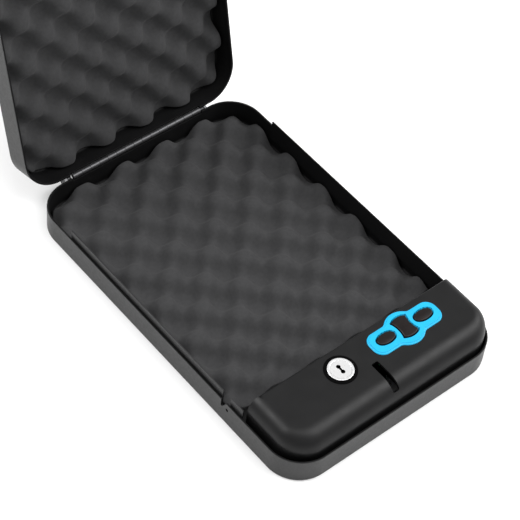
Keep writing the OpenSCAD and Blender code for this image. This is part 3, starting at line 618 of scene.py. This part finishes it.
def housing(name, inset, bottom):
    """Moulded cover: upright walls that turn into the top over an edge radius, which is larger in front."""
    half_w, front, rear = HOUSE_W - inset, HOUSE_FRONT + inset, HOUSE_REAR - inset
    top, r = HOUSE_TOP - inset, HOUSE_CORNER - inset
    rear_r = max(0.3, 1.6 - inset)

    def half_path(side, side_edge):
        """From the rear of a side wall to the middle of the front: x, y, outward normal, edge radius."""
        pts = []
        for i in range(7):
            y = rear + (front + r - rear) * i / 7
            pts.append((HOUSE_X + side * half_w, y, (side, 0), side_edge))
        for i, a in enumerate(quarter(22)):
            t = i / 22
            edge = side_edge + (FRONT_EDGE - side_edge) * t * t * (3 - 2 * t)
            c, s = math.cos(a), math.sin(a)
            pts.append((HOUSE_X + side * (half_w - r + r * c), front + r - r * s, (side * c, -s), edge))
        for i in range(1, 9):
            x = HOUSE_X + side * (half_w - r) * (1 - i / 8)
            pts.append((x, front, (0, -1), FRONT_EDGE))
        return pts

    path = half_path(-1, LEFT_EDGE) + half_path(1, RIGHT_EDGE)[-2::-1]
    rings = [[(x, y, bottom) for x, y, _, _ in path]]
    for a in quarter(16):
        ring = []
        for x, y, (nx, ny), edge in path:
            e = edge - inset
            d = e * (1 - math.cos(a))
            z = top - e * (1 - math.sin(a))
            ring.append((x - nx * d, y - ny * d, z))
        z = ring[0][2]
        over = max(0.0, z - (top - rear_r))
        back_y = rear - (rear_r - math.sqrt(max(0.0, rear_r ** 2 - over ** 2)))
        ring[0] = (ring[0][0], back_y, ring[0][2])
        ring[-1] = (ring[-1][0], back_y, ring[-1][2])
        rings.append(ring)
    return make(name, *skin(rings))


def soft_block(name, x, y, z, r):
    """Block whose upright edges are rounded by r."""
    half_w, half_d = (x[1] - x[0]) / 2, (y[1] - y[0]) / 2
    return prism(name, round_rect(half_w, half_d, r, 6), z[0], z[1], ((x[0] + x[1]) / 2, (y[0] + y[1]) / 2))


cover = housing("lock_cover", 0, FLOOR)
hollow = housing("c", HOUSE_T, FLOOR - 1)
boolean(cover, [hollow])
# screw bosses, of which the front pair reaches into the roof, and the posts of the keypad board
INTO_ROOF, REAR_BOSS_TOP, POST_FOOT = 35.8, 30, 32.4
BOSS_R, POST_R = 4, 3
bosses = [prism("c", circle(BOSS_R), FLOOR, INTO_ROOF, place) for place in COVER_SCREWS[:2]]
bosses += [prism("c", circle(BOSS_R), FLOOR, REAR_BOSS_TOP, place) for place in COVER_SCREWS[2:]]
for x, y in ((-28.5, 9.2), (28.5, -9.8)):
    bosses.append(prism("c", circle(POST_R), POST_FOOT, INTO_ROOF, (KEYPAD[0] + x, KEYPAD[1] + y)))
boolean(cover, bosses, "UNION")
STRIKER_SLOT = ((-4.4, 1.5), (-143, -118.7), (19.6, 60))
DOOR_HOLE = ((35.15, 86.65), (-98, -90), (12.25, 30.75))
LOCK_HOLE_Z, KEYS_HOLE_Z = (30, 40), (34.5, 40)
SCREW_BORE_R, SCREW_BORE_Z = 1.52, (0.5, 12)
cuts = [
    soft_block("c", *STRIKER_SLOT, 1.2),
    prism("c", circle(HOUSE_LOCK_R, 64), *LOCK_HOLE_Z, LOCK),
    prism("c", keypad_outline(*HOUSE_WINDOW_SHAPE), *KEYS_HOLE_Z, KEYPAD),
    soft_block("c", *DOOR_HOLE, 0.01),
]
for x, y in COVER_SCREWS:
    cuts.append(rod("c", SCREW_BORE_R, (x, y, SCREW_BORE_Z[0]), (x, y, SCREW_BORE_Z[1])))
boolean(cover, cuts)
soften(cover, 0.35, angle=40)
settle(cover, "base", ["lock_housing"], F["housing_plastic"])

# ---------- keypad ----------


def end_key(grow, n=64):
    """Oval, a little fuller than an ellipse."""
    half_l, half_w, power = 7.8 + grow, 4.35 + grow, 0.94
    pts = []
    for i in range(n):
        a = math.tau * i / n
        c, s = math.cos(a), math.sin(a)
        x = half_l * math.copysign(abs(c) ** power, c)
        y = half_w * math.copysign(abs(s) ** power, s)
        pts.append((x, y))
    return pts


def centre_key(grow, n=10):
    """Bowed top and bottom, hollow sides, round corners."""
    # radii of the hollow sides and of the bowed ends, and the distances of their centres
    waist, bow = 19.7 - grow, 13.0 + grow
    waist_x, bow_y = 25, 3.9
    corner_y = 6.8 + grow * 0.85
    corner_x = waist_x - math.sqrt(waist ** 2 - corner_y ** 2)
    heights = [corner_y * (-1 + 2 * i / n) for i in range(n + 1)]
    right_side = [(waist_x - math.sqrt(waist ** 2 - y * y), y) for y in heights]
    across = [corner_x * (1 - 2 * i / n) for i in range(1, n)]
    top = [(x, math.sqrt(bow ** 2 - x * x) - bow_y) for x in across]
    left_side = [(-x, y) for x, y in reversed(right_side)]
    bottom = [(-x, -y) for x, y in top]
    pts = right_side + top + left_side + bottom
    for _ in range(2):
        pairs = [(Vector(p), Vector(q)) for p, q in zip(pts, pts[1:] + pts[:1])]
        pts = [tuple(p.lerp(q, t)) for p, q in pairs for t in (0.25, 0.75)]
    return pts


def stepped_plate(name, outline, z0, z1, centre):
    """Plate with a rounded edge, a low ledge along it and a soft step up to its top."""
    r, ledge, step_in = 0.7, 0.5, 1.3
    rings = [at_height(outline, z0, centre)]
    for a in quarter(4):
        z = z1 - ledge - r * (1 - math.sin(a))
        rings.append(at_height(offset(outline, -r * (1 - math.cos(a))), z, centre))
    for further, share in ((0.0, 1.0), (0.1, 0.85), (0.3, 0.15), (0.4, 0.0)):
        rings.append(at_height(offset(outline, -step_in - further), z1 - ledge * share, centre))
    return make(name, *skin(rings))


BEZEL_TOP = 38.7
bezel = stepped_plate("keypad_frame", keypad_outline(*BEZEL_SHAPE), HOUSE_TOP, BEZEL_TOP, BEZEL)
neck = prism("c", keypad_outline(*BEZEL_NECK_SHAPE), 35.5, 37.8, KEYPAD)
boolean(bezel, [neck], "UNION")
THROUGH_BEZEL = (34, 40)
boolean(bezel, [
    prism("c", end_key(KEY_GAP), *THROUGH_BEZEL, (KEYPAD[0] - KEY_DX, KEYPAD[1])),
    prism("c", centre_key(KEY_GAP), *THROUGH_BEZEL, KEYPAD),
    prism("c", end_key(KEY_GAP), *THROUGH_BEZEL, (KEYPAD[0] + KEY_DX, KEYPAD[1])),
])
soften(bezel, 0.25, angle=50)
settle(bezel, "base", ["keypad_bezel"], F["bezel_plastic"])


def key_cap(name, outline, dx, body, stands_for):
    """Domed cap with its hidden flange and stem."""
    at = (KEYPAD[0] + dx, KEYPAD[1])
    side, flange = outline(0.0), outline(1.35)
    stem_r, edge_r, crown = 1.5, 1.0, 0.38
    foot, flange_z, shoulder, rim = 33.4, 34.6, 35.4, 38.3
    dome_from = 39.1
    stem = []
    for p in side:
        along = Vector(p).normalized() * stem_r
        stem.append((along.x, along.y))
    levels = ((stem, foot), (stem, flange_z), (flange, flange_z),
              (flange, shoulder), (side, shoulder), (side, rim))
    rings = [at_height(ring, z, at) for ring, z in levels]
    for a in quarter(6)[1:]:
        z = rim + (dome_from - rim) * math.sin(a)
        rings.append(at_height(offset(side, -edge_r * (1 - math.cos(a))), z, at))
    last = offset(side, -edge_r)
    for s in (0.85, 0.65, 0.4, 0.15):
        rings.append(at_height([(x * s, y * s) for x, y in last], dome_from + crown * (1 - s * s), at))
    ob = make(name, *skin(rings))
    soften(ob, 0.0, angle=50)
    ob.data.set_sharp_from_angle(angle=math.radians(50))
    ob.modifiers["shading"].keep_sharp = True
    settle(ob, body, stands_for, F["key_rubber"])


key_cap("cap_left", end_key, -KEY_DX, "left_key", ["key_left"])
key_cap("cap_centre", centre_key, 0.0, "centre_key", ["key_centre"])
key_cap("cap_right", end_key, KEY_DX, "right_key", ["key_right"])

# ---------- CAD nodes that stay: small round edges ----------

EDGES = {
    "guard_strip_left": 0.2, "guard_tab_left": 0.2, "guard_strip_right": 0.2,
    "lock_ring": 0.15, "lock_barrel": 0.22, "lock_plug": 0.22, "striker": 0.25,
    "hinge_leaf_base": 0.12, "hinge_leaf_lid": 0.12, "hinge_pin": 0.15,
    "hinge_rivets_base": 0.3, "hinge_rivets_lid": 0.3, "battery_door": 0.25,
    "housing_screws": 0.06, "guide_screws": 0.06, "latch_bolt": 0.2, "latch_guide": 0.2,
    "solenoid_frame": 0.15, "solenoid_coil": 0.2, "solenoid_plunger": 0.3, "lock_nut": 0.3, "lock_cam": 0.2,
    "cam_screw": 0.15, "battery_tray": 0.15, "battery": 0.5, "battery_snap": 0.3, "keypad_board": 0.1,
    "board_screws": 0.1,
}
for name, width in EDGES.items():
    soften(nodes[name], width, angle=40, weld=True)

# ---------- floor, light, colour ----------

FLOOR_HALF, FLOOR_Z = 6000, -0.05
corners = [(x * FLOOR_HALF, y * FLOOR_HALF, FLOOR_Z) for x, y in ((-1, -1), (1, -1), (1, 1), (-1, 1))]
floor = make("floor", corners, [(0, 1, 2, 3)])
paint = finish("floor_paint", (0.86, 0.86, 0.86), 0.8, spec=0.2, mottle=(3, 0.01))
floor.data.materials.append(paint)


def softbox(name, at, target, size, power):
    """Rectangular light: places and size in metres, power in watts."""
    data = bpy.data.lights.new(name, "AREA")
    data.shape = "RECTANGLE"
    data.size, data.size_y = size
    data.energy = power
    ob = bpy.data.objects.new(name, data)
    bpy.context.scene.collection.objects.link(ob)
    ob.location = at
    ob.rotation_mode = "QUATERNION"
    ob.rotation_quaternion = (Vector(target) - Vector(at)).to_track_quat("-Z", "Y")


softbox("rear_left", (-0.93, 1.0, 1.73), (0, 0, 0), (1.0, 1.0), 30)
softbox("front_right", (0.96, -0.8, 1.72), (0, -0.05, 0.03), (1.1, 1.1), 25)
softbox("top", (-0.1, -0.25, 2.2), (0, -0.05, 0.03), (0.9, 0.9), 8)
softbox("right", (1.75, -0.5, 1.05), (0, 0.1, 0.1), (1.0, 0.8), 14)

world = bpy.data.worlds.new("studio")
bpy.context.scene.world = world
world.use_nodes = True
sky = world.node_tree.nodes["Background"]
sky.inputs["Color"].default_value = (1, 1, 1, 1)
sky.inputs["Strength"].default_value = 0.75
bpy.context.scene.view_settings.view_transform = "Standard"
